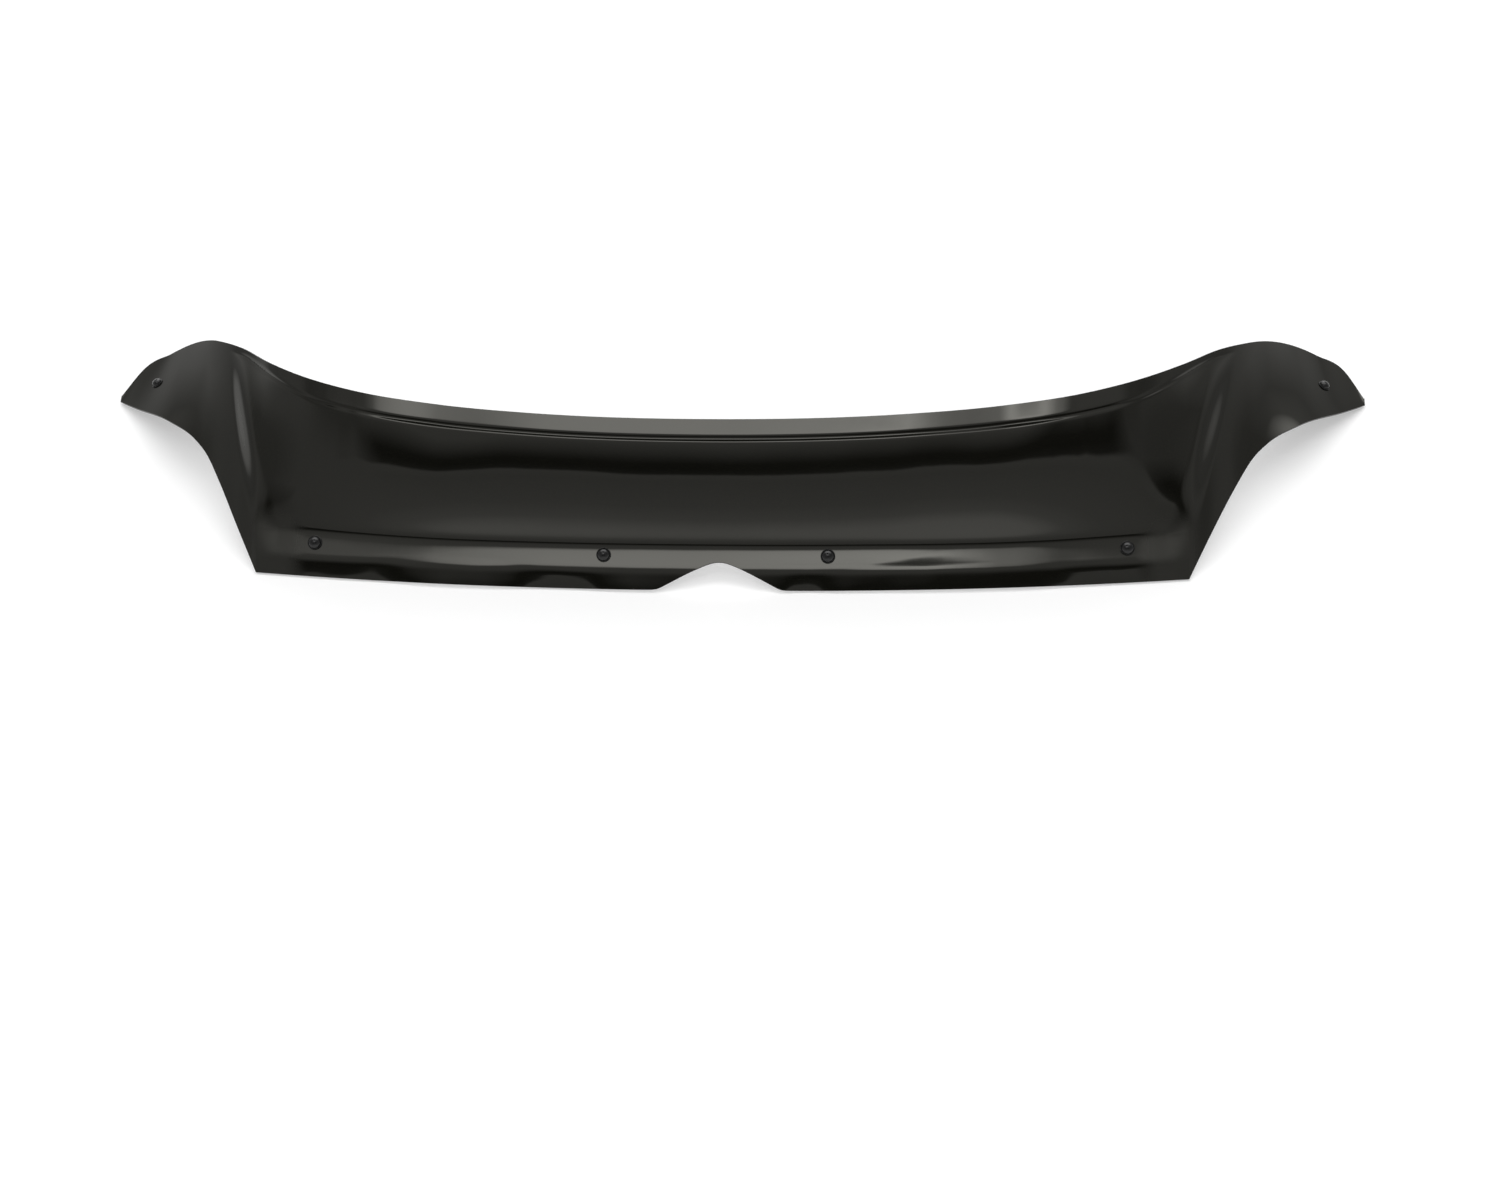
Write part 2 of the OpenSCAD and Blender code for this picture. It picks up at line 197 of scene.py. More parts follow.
def top_edge(x):
    return curve(TOP_POINTS, x, 1), curve(TOP_POINTS, x, 2)


def bottom_edge(x):
    y = -BOW * (1 - np.minimum(1, x / CORNER_X) ** BOW_POWER)
    return y * math.sin(DRAW_TILT), -y * math.cos(DRAW_TILT)


def low_edge(x):
    w, h = bottom_edge(x)
    beyond = np.maximum(x, CORNER_X)
    inside = x <= CORNER_X
    side_w = curve(SIDE_POINTS, beyond, 1)
    side_h = curve(SIDE_POINTS, beyond, 2)
    return np.where(inside, w, side_w), np.where(inside, h, side_h)


def to_end(x):
    return smooth((x / CORNER_X - END_FROM) / END_REACH)


def fold_w(x):
    return bottom_edge(x)[0] + FLANGE_W


def lip_width(x):
    return mix(LIP_W, LIP_END_W, smooth((x / CORNER_X - LIP_END_FROM) / LIP_END_REACH))


def roll_run(t):
    s = np.clip((t - ROLL_FROM) / (ROLL_TO - ROLL_FROM), 0, 1)
    return (ROLL_TO - ROLL_FROM) * s ** 3 * (1 - s / 2) + np.maximum(0, t - ROLL_TO)


def body_height(x, w):
    """Flange, raised panel and lip between the soft bends."""
    edge = mix(FLANGE_EDGE_SLOPE, END_EDGE_SLOPE, to_end(x))
    fold = mix(FLANGE_FOLD_SLOPE, END_FOLD_SLOPE, to_end(x))
    foot = mix(PANEL_FOOT_SLOPE, END_FOOT_SLOPE, to_end(x))
    lip = lip_width(x)
    top_w, top_h = top_edge(x)
    low_h = bottom_edge(x)[1]
    fold_h = low_h + FLANGE_W * (edge + (fold - edge) * roll_run(1.0))
    crease_w = top_w - lip
    crease_h = top_h - lip * LIP_SLOPE
    d = w - fold_w(x)
    e = w - crease_w
    length = crease_w - fold_w(x)
    t = 1 + d / FLANGE_W
    flange = low_h + FLANGE_W * (edge * t + (fold - edge) * roll_run(t))
    panel = fold_h + foot * d + ((crease_h - fold_h) / length - foot) * d * d / length
    base = np.where(d < 0, flange, np.where(e < 0, panel, crease_h + LIP_SLOPE * e))
    rounding = (foot - fold) / 2 * (np.sqrt(d * d + FOLD_ROUND ** 2) - np.abs(d))
    return base + rounding - CREASE_D * np.exp(-(e / CREASE_REACH) ** 2)


def wing_height(x, w):
    low_w, low_h = low_edge(x)
    top_w, top_h = top_edge(x)
    d = top_w - low_w
    chord = top_h - low_h
    return hermite((w - low_w) / d, low_h, top_h, chord + WING_FOOT_BEND * d, chord - WING_TOP_BEND * d)


# Waviness that the heated edge strip keeps after forming: place along the part, lean in degrees
LEANS = np.array([
    (-498, 1.6), (-400, 1.8), (-350, 1.2), (-325, -2.0), (-225, -2.3), (-195, 1.9), (-140, 2.2), (-118, -1.2),
    (-20, -1.6), (72, -1.2), (92, 1.7), (108, 1.5), (125, -1.2), (165, -1.6), (235, -2.5), (335, -2.3),
    (385, 0.6), (440, 1.4), (498, 1.7)])
# Share of the flange's width at which that waviness starts, from left to right
LEAN_TOPS = np.array([
    (-498, 0.46), (-400, 0.46), (-340, 0.6), (-240, 0.6), (-180, 0.46), (60, 0.46), (134, 0.47), (185, 0.66),
    (230, 0.82), (300, 0.9), (360, 0.88), (400, 0.56), (440, 0.46), (498, 0.46)])
LEAN_SOFT = 5
EDGE_LIFT = 0.66
LIFT_FULL = 0.02
LIFT_END = 0.6
# Small ripples on top of the lean: share of the depth, waves per metre across and up, phase
RIPPLES = [(0.5, 9.7, 12.0, 2.1), (0.35, 16.3, -21.0, 4.0), (0.25, 31.0, 9.0, 1.2)]
RIPPLE_DEPTH = 0.07
# The waviness fades out over this length and stops this far from the corner
RIPPLE_FADE = 50
RIPPLE_STOP = 4


def ripple(x, w):
    """Waviness of the flange's lower strip, which reaches higher between the fixings than at them."""
    side = np.abs(x)
    t = (w - low_edge(side)[0]) / FLANGE_W
    wave = 0
    for share, across, up, phase in RIPPLES:
        wave = wave + share * np.sin(2 * math.pi * (across * x + up * w) / 1000 + phase)
    along = np.clip(x, -CORNER_X, CORNER_X)
    below = np.maximum(0, curve(LEAN_TOPS, along, 1) - t) * FLANGE_W
    reach = np.sqrt(below ** 2 + LEAN_SOFT ** 2) - LEAN_SOFT
    lean = curve(LEANS, along, 1)
    raised = 1 - smooth((t - LIFT_FULL) / (LIFT_END - LIFT_FULL))
    wavy = raised * (EDGE_LIFT + RIPPLE_DEPTH * wave) - np.tan(np.radians(lean)) * reach
    return wavy * smooth((CORNER_X - RIPPLE_STOP - side) / RIPPLE_FADE)


def height(x, w):
    flange_wave = ripple(x, w)
    x = np.minimum(np.abs(x), TIP_X)
    side_line = SIDE_X + SIDE_LEAN * np.maximum(0, w - fold_w(x))
    m = smooth((side_line + SIDE_SOFT - x) / (2 * SIDE_SOFT))
    return mix(wing_height(x, w), body_height(x, w), m) + flange_wave


def to_part(x, w, h):
    """Point in the part's frame from its place on the draw plane."""
    y = w * math.sin(DRAW_TILT) - h * math.cos(DRAW_TILT)
    z = w * math.cos(DRAW_TILT) + h * math.sin(DRAW_TILT)
    return np.stack(np.broadcast_arrays(x, y, z), -1)


def normal(x, w, probe=0.5):
    across = (height(x + probe, w) - height(x - probe, w)) / (2 * probe)
    along = (height(x, w + probe) - height(x, w - probe)) / (2 * probe)
    n = to_part(-across, -along, np.ones_like(across))
    return n / np.linalg.norm(n, axis=-1, keepdims=True)


def cut_w(x):
    """Lower edge with the notch cut into it."""
    below = np.where(x < NOTCH_APEX, (NOTCH_APEX - x) / (NOTCH_APEX - NOTCH_LEFT),
                     (x - NOTCH_APEX) / (NOTCH_RIGHT - NOTCH_APEX))
    r = NOTCH_TIP_ROUND
    share = 1 - (np.sqrt(below * below + r * r) - r) / (math.sqrt(1 + r * r) - r)
    soft = (share + np.sqrt(share * share + NOTCH_FOOT_ROUND ** 2)) / 2
    return low_edge(np.abs(x))[0] + NOTCH_H * soft


# The CAD's own box gives the move that sets the sheet on its lowest rim
box_low, box_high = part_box("deflector_shell")


# Grid over the sheet: columns across, rows from the lower edge to the upper one
EDGE_ROUND = 0.6
ROUND_STEPS = 3
BODY_COLS = 120
WING_COLS = 84
NOTCH_COLS = 24
COLUMN_CROWDING = 1.3
# Rows in each band, from the lower edge over the fold and the crease to the upper edge
ROW_STEPS = (14, 26, 26, 20, 8)
FOLD_BAND = 14
CREASE_BAND = 9
EVEN_ROWS_BEYOND = 32


def column_places():
    body = 1 - (1 - np.arange(1, BODY_COLS + 1) / BODY_COLS) ** COLUMN_CROWDING
    wing_run = 1 - (1 - np.arange(1, WING_COLS + 1) / WING_COLS) ** COLUMN_CROWDING
    wing = mix(CORNER_X, TIP_X - EDGE_ROUND, wing_run)
    right = np.concatenate([mix(NOTCH_RIGHT, CORNER_X, body), wing])
    left = np.concatenate([mix(NOTCH_LEFT, -CORNER_X, body), -wing])
    notch = np.concatenate([
        np.linspace(NOTCH_LEFT, NOTCH_APEX, NOTCH_COLS, endpoint=False),
        np.linspace(NOTCH_APEX, NOTCH_RIGHT, NOTCH_COLS + 1)])
    return np.concatenate([left[::-1], notch, right])


def row_places(x, inset):
    """Rows of one column: they follow the fold and the crease on the body, and are even on the wings."""
    ax = np.abs(x)
    low = cut_w(x) + inset
    top = top_edge(ax)[0] - inset
    crease = top_edge(ax)[0] - lip_width(ax)
    marks = [low, np.maximum(fold_w(ax) - FOLD_BAND, low + 1), np.maximum(fold_w(ax) + FOLD_BAND, low + 2),
             crease - CREASE_BAND, np.minimum(crease + CREASE_BAND, top - 1), top]
    k = smooth((ax - SIDE_X) / (CORNER_X + EVEN_ROWS_BEYOND - SIDE_X))
    count = sum(ROW_STEPS)
    rows = []
    j = 0
    for i, step in enumerate(ROW_STEPS):
        for s in range(step):
            rows.append(mix(mix(marks[i], marks[i + 1], s / step), mix(low, top, j / count), k))
            j += 1
    rows.append(top)
    return np.array(rows)


def build_sheet():
    x = column_places()
    slope_low = np.gradient(cut_w(x), x)
    slope_top = np.gradient(top_edge(np.abs(x))[0], x)
    width = top_edge(np.abs(x))[0] - cut_w(x)
    inset_low = np.minimum(EDGE_ROUND * np.sqrt(1 + slope_low ** 2), width / 4)
    inset_top = np.minimum(EDGE_ROUND * np.sqrt(1 + slope_top ** 2), width / 4)
    inner_low = cut_w(x) + inset_low
    inner_top = top_edge(np.abs(x))[0] - inset_top
    body_rows = row_places(x, 0.0)
    span_rows = body_rows[-1] - body_rows[0]
    body_rows = inner_low + (body_rows - body_rows[0]) / span_rows * (inner_top - inner_low)
    turn = np.linspace(math.pi / 2, 0, ROUND_STEPS, endpoint=False)
    low_rows = [inner_low - inset_low * math.sin(a) for a in turn]
    top_rows = [inner_top + inset_top * math.sin(a) for a in turn[::-1]]
    w = np.concatenate([low_rows, body_rows, top_rows])
    depth_low = [EDGE_ROUND * (1 - math.cos(a)) for a in turn]
    depth = np.array(depth_low + [0.0] * len(body_rows) + depth_low[::-1])
    depth = np.repeat(depth[:, None], len(x), axis=1)
    # The blunt ends of the tips are rounded in the same way, with three more columns at each end
    end_x = [TIP_X - EDGE_ROUND + EDGE_ROUND * math.sin(a) for a in turn[::-1]]
    for sign in (1, -1):
        at = -1 if sign > 0 else 0
        for k, place in enumerate(end_x):
            a = turn[::-1][k]
            column = w[:, at].copy()
            extra = np.maximum(depth[:, at], EDGE_ROUND * (1 - math.cos(a)))
            insert = w.shape[1] if sign > 0 else 0
            w = np.insert(w, insert, column, axis=1)
            depth = np.insert(depth, insert, extra, axis=1)
            x = np.insert(x, insert, sign * place)
    n_rows, n_cols = w.shape
    xx = np.repeat(x[None, :], n_rows, axis=0)
    n = normal(xx, w)
    face = to_part(xx, w, height(xx, w))
    outer = face - n * depth[..., None]
    inner = face - n * (SHEET_T - depth)[..., None]
    points = np.concatenate([outer.reshape(-1, 3), inner.reshape(-1, 3)])
    settle = np.array([
        0.0,
        (box_low.y + box_high.y) * 500 - (points[:, 1].min() + points[:, 1].max()) / 2,
        box_low.z * 1000 - points[:, 2].min()])
    points = points + settle
    index = np.arange(2 * n_rows * n_cols).reshape(2, n_rows, n_cols)
    a, b = index
    quads = []
    quads.append(np.stack([a[:-1, :-1], a[:-1, 1:], a[1:, 1:], a[1:, :-1]], -1).reshape(-1, 4))
    quads.append(np.stack([b[:-1, :-1], b[1:, :-1], b[1:, 1:], b[:-1, 1:]], -1).reshape(-1, 4))
    quads.append(np.stack([a[0, :-1], b[0, :-1], b[0, 1:], a[0, 1:]], -1))
    quads.append(np.stack([a[-1, :-1], a[-1, 1:], b[-1, 1:], b[-1, :-1]], -1))
    quads.append(np.stack([a[:-1, 0], a[1:, 0], b[1:, 0], b[:-1, 0]], -1))
    quads.append(np.stack([a[:-1, -1], b[:-1, -1], b[1:, -1], a[1:, -1]], -1))
    faces = np.concatenate(quads)
    mesh = bpy.data.meshes.new("smoked_sheet")
    mesh.vertices.add(len(points))
    mesh.vertices.foreach_set("co", (points / 1000).astype(np.float32).ravel())
    mesh.loops.add(len(faces) * 4)
    mesh.loops.foreach_set("vertex_index", faces.astype(np.int32).ravel())
    mesh.polygons.add(len(faces))
    mesh.polygons.foreach_set("loop_start", np.arange(0, len(faces) * 4, 4, dtype=np.int32))
    mesh.polygons.foreach_set("use_smooth", np.ones(len(faces), bool))
    mesh.update(calc_edges=True)
    mesh.validate()
    sheet = bpy.data.objects.new("smoked_sheet", mesh)
    scene.collection.objects.link(sheet)
    return sheet, settle


def fixing_places():
    """Place and normal of each fixing on the outer face, in millimetres."""
    found = {}
    for side, sign in (("left", -1), ("right", 1)):
        wing_x = TIP_X - TIP_TO_WING_FIXING
        outer_x = CORNER_X - CORNER_TO_OUTER
        wing_w = mix(low_edge(np.float64(wing_x))[0], top_edge(np.float64(wing_x))[0], WING_FIXING_SHARE)
        for name, x, w in (("wing", wing_x, wing_w),
                           ("outer", outer_x, fold_w(outer_x) - FOLD_TO_FIXING),
                           ("inner", INNER_X, fold_w(INNER_X) - FOLD_TO_FIXING)):
            x = np.float64(sign * x)
            w = np.float64(w)
            found[f"{name}_{side}"] = (to_part(x, w, height(x, w)), normal(x, w))
    return found


HOLE_STEPS = 40
DRILL_REACH = 0.008


def drill(sheet, settle):
    """Cuts the six screw holes."""
    tool_mesh = bpy.data.meshes.new("hole_tool")
    verts = []
    faces = []
    steps = HOLE_STEPS
    for place, n in fixing_places().values():
        centre = (place + settle) / 1000
        side = Vector(n).orthogonal().normalized()
        other = Vector(n).cross(side)
        start = len(verts)
        for d in (-DRILL_REACH, DRILL_REACH):
            for i in range(steps):
                angle = 2 * math.pi * i / steps
                ring = (side * math.cos(angle) + other * math.sin(angle)) * HOLE_D / 2000
                verts.append(Vector(centre) + Vector(n) * d + ring)
        for i in range(steps):
            j = (i + 1) % steps
            faces.append((start + i, start + j, start + steps + j, start + steps + i))
        faces.append(tuple(start + i for i in reversed(range(steps))))
        faces.append(tuple(start + steps + i for i in range(steps)))
    tool_mesh.from_pydata([tuple(v) for v in verts], [], faces)
    tool = bpy.data.objects.new("hole_tool", tool_mesh)
    scene.collection.objects.link(tool)
    cut = sheet.modifiers.new("holes", "BOOLEAN")
    cut.object = tool
    cut.operation = "DIFFERENCE"
    cut.solver = "EXACT"
    done = bpy.data.meshes.new_from_object(sheet.evaluated_get(bpy.context.evaluated_depsgraph_get()))
    sheet.modifiers.clear()
    sheet.data = done
    bpy.data.objects.remove(tool)


# The wings' shading leans this far towards the draw direction, so that they keep their even sheen
WING_LEAN = 0.38
WING_LEAN_REACH = WING_LEN / 5
# A vertex belongs to a face of the sheet within these depths, in millimetres, and this much facing
OUTER_NEAR = 0.1
INNER_NEAR = 0.3
FACING = 0.8


def set_normals(sheet, settle):
    """Gives the two faces of the sheet the normals of its surface, for clean reflections."""
    mesh = sheet.data
    mesh.polygons.foreach_set("use_smooth", np.ones(len(mesh.polygons), bool))
    co = np.empty(len(mesh.vertices) * 3, np.float32)
    mesh.vertices.foreach_get("co", co)
    p = co.reshape(-1, 3).astype(float) * 1000 - settle
    x = p[:, 0]
    w = p[:, 1] * math.sin(DRAW_TILT) + p[:, 2] * math.cos(DRAW_TILT)
    h = -p[:, 1] * math.cos(DRAW_TILT) + p[:, 2] * math.sin(DRAW_TILT)
    n = normal(x, w)
    up = -math.cos(DRAW_TILT) * n[:, 1] + math.sin(DRAW_TILT) * n[:, 2]
    depth = (height(x, w) - h) * up
    own = np.empty(len(mesh.vertices) * 3, np.float32)
    mesh.vertex_normals.foreach_get("vector", own)
    own = own.reshape(-1, 3)
    facing = (own * n).sum(1)
    outer = (np.abs(depth) < OUTER_NEAR) & (facing > FACING)
    inner = (np.abs(depth - SHEET_T) < INNER_NEAR) & (facing < -FACING)
    lean = WING_LEAN * smooth((np.abs(x) - SIDE_X) / WING_LEAN_REACH)
    shown = n + lean[:, None] * to_part(0.0, 0.0, 1.0)
    shown /= np.linalg.norm(shown, axis=-1, keepdims=True)
    own[outer] = shown[outer]
    own[inner] = -n[inner]
    mesh.normals_split_custom_set_from_vertices(own.tolist())


sheet, settle = build_sheet()
drill(sheet, settle)
set_normals(sheet, settle)
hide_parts("deflector_shell")
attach(sheet, "root")


# Materials
def new_material(name):
    made = bpy.data.materials.new(name)
    made.use_nodes = True
    tree = made.node_tree
    tree.nodes.clear()
    out = tree.nodes.new("ShaderNodeOutputMaterial")
    shader = tree.nodes.new("ShaderNodeBsdfPrincipled")
    tree.links.new(shader.outputs["BSDF"], out.inputs["Surface"])
    return made, tree, shader


def object_coords(tree):
    return tree.nodes.new("ShaderNodeTexCoord").outputs["Object"]


def noise(tree, coords, scale, detail=2.0, rough=0.5):
    made = tree.nodes.new("ShaderNodeTexNoise")
    made.inputs["Scale"].default_value = scale
    made.inputs["Detail"].default_value = detail
    made.inputs["Roughness"].default_value = rough
    tree.links.new(coords, made.inputs["Vector"])
    return made.outputs["Fac"]


def remap(tree, value, low, high, out_low, out_high):
    made = tree.nodes.new("ShaderNodeMapRange")
    made.inputs["From Min"].default_value = low
    made.inputs["From Max"].default_value = high
    made.inputs["To Min"].default_value = out_low
    made.inputs["To Max"].default_value = out_high
    tree.links.new(value, made.inputs["Value"])
    return made.outputs["Result"]


def bump(tree, value, distance, strength, before=None):
    made = tree.nodes.new("ShaderNodeBump")
    made.inputs["Distance"].default_value = distance
    made.inputs["Strength"].default_value = strength
    tree.links.new(value, made.inputs["Height"])
    if before is not None:
        tree.links.new(before, made.inputs["Normal"])
    return made.outputs["Normal"]


def feed(tree, value, socket):
    """Links a node's output to a socket, or sets the socket to a plain value."""
    if isinstance(value, bpy.types.NodeSocket):
        tree.links.new(value, socket)
    else:
        socket.default_value = value


def math_node(tree, kind, *values):
    made = tree.nodes.new("ShaderNodeMath")
    made.operation = kind
    for socket, value in zip(made.inputs, values):
        feed(tree, value, socket)
    return made.outputs["Value"]


def join_tones(tree, kind, factor, a, b):
    made = tree.nodes.new("ShaderNodeMix")
    made.data_type = "RGBA"
    made.blend_type = kind
    inputs = {s.identifier: s for s in made.inputs}
    for name, value in (("Factor_Float", factor), ("A_Color", a), ("B_Color", b)):
        feed(tree, value, inputs[name])
    return next(s for s in made.outputs if s.identifier == "Result_Color")


def blend_colour(tree, factor, a, b):
    return join_tones(tree, "MIX", factor, (*a, 1), (*b, 1))


SMOKE_DARK = (0.0028, 0.0028, 0.0018)
SMOKE_PALE = (0.0038, 0.0037, 0.0025)
# The flange's ends, drawn the most, are a little matt: where that starts and stops, in metres
END_ROUGHNESS = 0.4
MATT_FROM = (0.44, 0.465)
MATT_TO = (0.5, 0.51)
MATT_TOP = (-0.125, -0.105)


def acrylic():
    made, tree, shader = new_material("smoked_acrylic")
    coords = object_coords(tree)
    shader.inputs["IOR"].default_value = 1.49
    shader.inputs["Specular Tint"].default_value = (1.0, 0.985, 0.91, 1)
    cloud = noise(tree, coords, 6.0, 3.0)
    tone = blend_colour(tree, remap(tree, cloud, 0.3, 0.7, 0, 1), SMOKE_DARK, SMOKE_PALE)
    tree.links.new(tone, shader.inputs["Base Color"])
    fine = noise(tree, coords, 900.0, 2.0)
    split = tree.nodes.new("ShaderNodeSeparateXYZ")
    tree.links.new(coords, split.inputs[0])
    aside = math_node(tree, "ABSOLUTE", split.outputs["X"])
    starts = remap(tree, aside, *MATT_FROM, 0, 1)
    stops = remap(tree, aside, *MATT_TO, 1, 0)
    low = remap(tree, split.outputs["Y"], *MATT_TOP, 1, 0)
    matt = math_node(tree, "MULTIPLY", math_node(tree, "MULTIPLY", starts, stops), low)
    gloss = remap(tree, fine, 0.35, 0.7, 0.035, 0.06)
    rough = math_node(tree, "ADD", gloss, math_node(tree, "MULTIPLY", matt, END_ROUGHNESS))
    tree.links.new(rough, shader.inputs["Roughness"])
    wave = noise(tree, coords, 7.0, 1.0, 0.3)
    rolled = bump(tree, wave, 0.0012, 1.0)
    orange = noise(tree, coords, 60.0, 1.0, 0.3)
    tree.links.new(bump(tree, orange, 0.00002, 1.0, rolled), shader.inputs["Normal"])
    return made


def moulded_black(name, roughness):
    made, tree, shader = new_material(name)
    coords = object_coords(tree)
    tone = blend_colour(tree, noise(tree, coords, 300.0), (0.004, 0.004, 0.004), (0.008, 0.008, 0.008))
    shader.inputs["Specular IOR Level"].default_value = 0.38
    tree.links.new(tone, shader.inputs["Base Color"])
    fine = noise(tree, coords, 1800.0, 3.0)
    tree.links.new(remap(tree, fine, 0.3, 0.7, roughness * 0.8, roughness * 1.25), shader.inputs["Roughness"])
    tree.links.new(bump(tree, fine, 0.00002, 1.0), shader.inputs["Normal"])
    return made


def zinc(name, tint):
    made, tree, shader = new_material(name)
    coords = object_coords(tree)
    shader.inputs["Metallic"].default_value = 1.0
    spots = noise(tree, coords, 420.0, 4.0, 0.6)
    tone = blend_colour(tree, remap(tree, spots, 0.3, 0.7, 0, 1), tint, tuple(c * 0.72 for c in tint))
    tree.links.new(tone, shader.inputs["Base Color"])
    tree.links.new(remap(tree, spots, 0.3, 0.7, 0.26, 0.42), shader.inputs["Roughness"])
    tree.links.new(bump(tree, spots, 0.00003, 1.0), shader.inputs["Normal"])
    return made


def rubber():
    made, tree, shader = new_material("spacer_rubber")
    coords = object_coords(tree)
    grain = noise(tree, coords, 2200.0, 4.0, 0.6)
    tone = blend_colour(tree, grain, (0.012, 0.012, 0.012), (0.03, 0.03, 0.029))
    tree.links.new(tone, shader.inputs["Base Color"])
    tree.links.new(remap(tree, grain, 0.3, 0.7, 0.62, 0.85), shader.inputs["Roughness"])
    tree.links.new(bump(tree, grain, 0.00005, 1.0), shader.inputs["Normal"])
    return made


def turned(name, profile, place, turn, steps=64):
    """Closed solid of revolution from a loop of (radius, height) points, set on a fixing."""
    loop = np.array(profile, float)
    angles = np.arange(steps) * 2 * math.pi / steps
    ring = np.stack([np.cos(angles), np.sin(angles)], -1)
    local = np.concatenate([
        np.column_stack([r * ring, np.full(steps, z)]) for r, z in loop])
    verts = (local @ turn.T + place) / 1000
    count = len(loop)
    faces = []
    for i in range(count):
        k = (i + 1) % count
        for j in range(steps):
            m = (j + 1) % steps
            faces.append((i * steps + j, i * steps + m, k * steps + m, k * steps + j))
    mesh = bpy.data.meshes.new(name)
    mesh.from_pydata(verts.tolist(), [], faces)
    work = bmesh.new()
    work.from_mesh(mesh)
    bmesh.ops.remove_doubles(work, verts=work.verts, dist=1e-7)
    bmesh.ops.recalc_face_normals(work, faces=work.faces)
    work.to_mesh(mesh)
    work.free()
    mesh.polygons.foreach_set("use_smooth", np.ones(len(mesh.polygons), bool))
    mesh.set_sharp_from_angle(angle=math.radians(38))
    obj = bpy.data.objects.new(name, mesh)
    scene.collection.objects.link(obj)
    return obj


def arc(centre_r, centre_z, radius, start, end, steps=4):
    turns = np.linspace(math.radians(start), math.radians(end), steps + 1)
    return [(centre_r + radius * math.cos(a), centre_z + radius * math.sin(a)) for a in turns]


def dome_arc(radius, start, end, steps, lift):
    turns = np.linspace(math.radians(start), math.radians(end), steps + 1)
    return [(radius * math.cos(a), lift + DOME_FLAT * radius * math.sin(a)) for a in turns]


def cap_profile(cap_d, lift):
    r = cap_d / 2 - CAP_INSET
    rim = 0.25
    outer = arc(r - rim, lift + rim, rim, -90, -15, 3) + dome_arc(r, 6, 89.9, 26, lift)
    inner = dome_arc(r - CAP_WALL, 89.9, 0, 20, lift)
    return outer + inner


def collar_profile(cap_d, lift):
    r = cap_d / 2
    top = lift + COLLAR_T
    low = 0.15
    crown = 0.4
    return (arc(r - low, lift + low, low, -90, 0, 3) + arc(r - crown, top - crown, crown, 0, 90, 5)
            + [(HEAD_D / 2 + BORE_CLEAR, top), (HEAD_D / 2 + BORE_CLEAR, lift + COLLAR_FLOOR),
               (SCREW_D / 2 + BORE_CLEAR, lift + COLLAR_FLOOR), (SCREW_D / 2 + BORE_CLEAR, lift)])


def spacer_profile(low):
    r = CLIP_W / 2
    edge = 0.5
    waist = 0.25
    top = low + SPACER_T
    side = [(r - waist * math.sin(math.pi * k / 6), mix(low + edge, top - edge, k / 6)) for k in range(1, 6)]
    bore = SCREW_D / 2 + BORE_CLEAR
    return (arc(r - edge, low + edge, edge, -90, 0, 4) + side + arc(r - edge, top - edge, edge, 0, 90, 4)
            + [(bore, top), (bore, low)])


def assign(obj, material):
    obj.data.materials.clear()
    obj.data.materials.append(material)


FINISHES = {
    "cap": moulded_black("cap_gloss_black", 0.09),
    "collar": moulded_black("collar_black", 0.22),
    "screw": zinc("screw_zinc", (0.62, 0.61, 0.58)),
    "spacer": rubber(),
    "clip": zinc("clip_spring_steel", (0.42, 0.42, 0.43))}

assign(sheet, acrylic())
for name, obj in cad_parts.items():
    kind = name.split("_")[-1]
    if kind in FINISHES:
        assign(obj, FINISHES[kind])


def dress_fixing(spot, point, n):
    """Cap, collar and spacer of one fixing, each turned on the fixing's own axis."""
    tilt = math.acos(n[2])
    around = math.atan2(n[1], n[0])
    turn = np.array(Matrix.Rotation(around, 3, "Z") @ Matrix.Rotation(tilt, 3, "Y"))
    place = point + settle
    cap_d = WING_CAP_D if spot.startswith("wing") else FLANGE_CAP_D
    x, w = point[0], point[1] * math.sin(DRAW_TILT) + point[2] * math.cos(DRAW_TILT)
    angles = np.radians(np.arange(0, 360, 15))

    def ring(radius):
        rx = x + radius * np.cos(angles)
        rw = w + radius * np.sin(angles)
        return (to_part(rx, rw, height(rx, rw)) - point) @ n
    seat = SEAT_CLEAR + max(0, ring(cap_d / 2).max())
    back_seat = SEAT_CLEAR - min(0, ring(CLIP_W / 2).min())
    clip_top = -SHEET_T - back_seat - SPACER_T
    for kind, profile in (("cap", cap_profile(cap_d, seat + COLLAR_T)),
                          ("collar", collar_profile(cap_d, seat)),
                          ("spacer", spacer_profile(clip_top))):
        piece = turned(f"{spot}_{kind}_turned", profile, place, turn)
        assign(piece, FINISHES[kind])
        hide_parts(f"{spot}_{kind}")
        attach(piece, "root")


for spot, (point, n) in fixing_places().items():
    dress_fixing(spot, point, n)

# Camera at the photograph's angle, in millimetres and degrees
YAW = 5.425
ELEVATION = 45.114
ROLL = -3.374
DISTANCE = 2587.3
FOCAL_SHARE = 0.8982
SHIFT_X = -27.175
SHIFT_Y = 140.463
PHOTO_WIDTH = 1500
SENSOR_WIDTH = 36


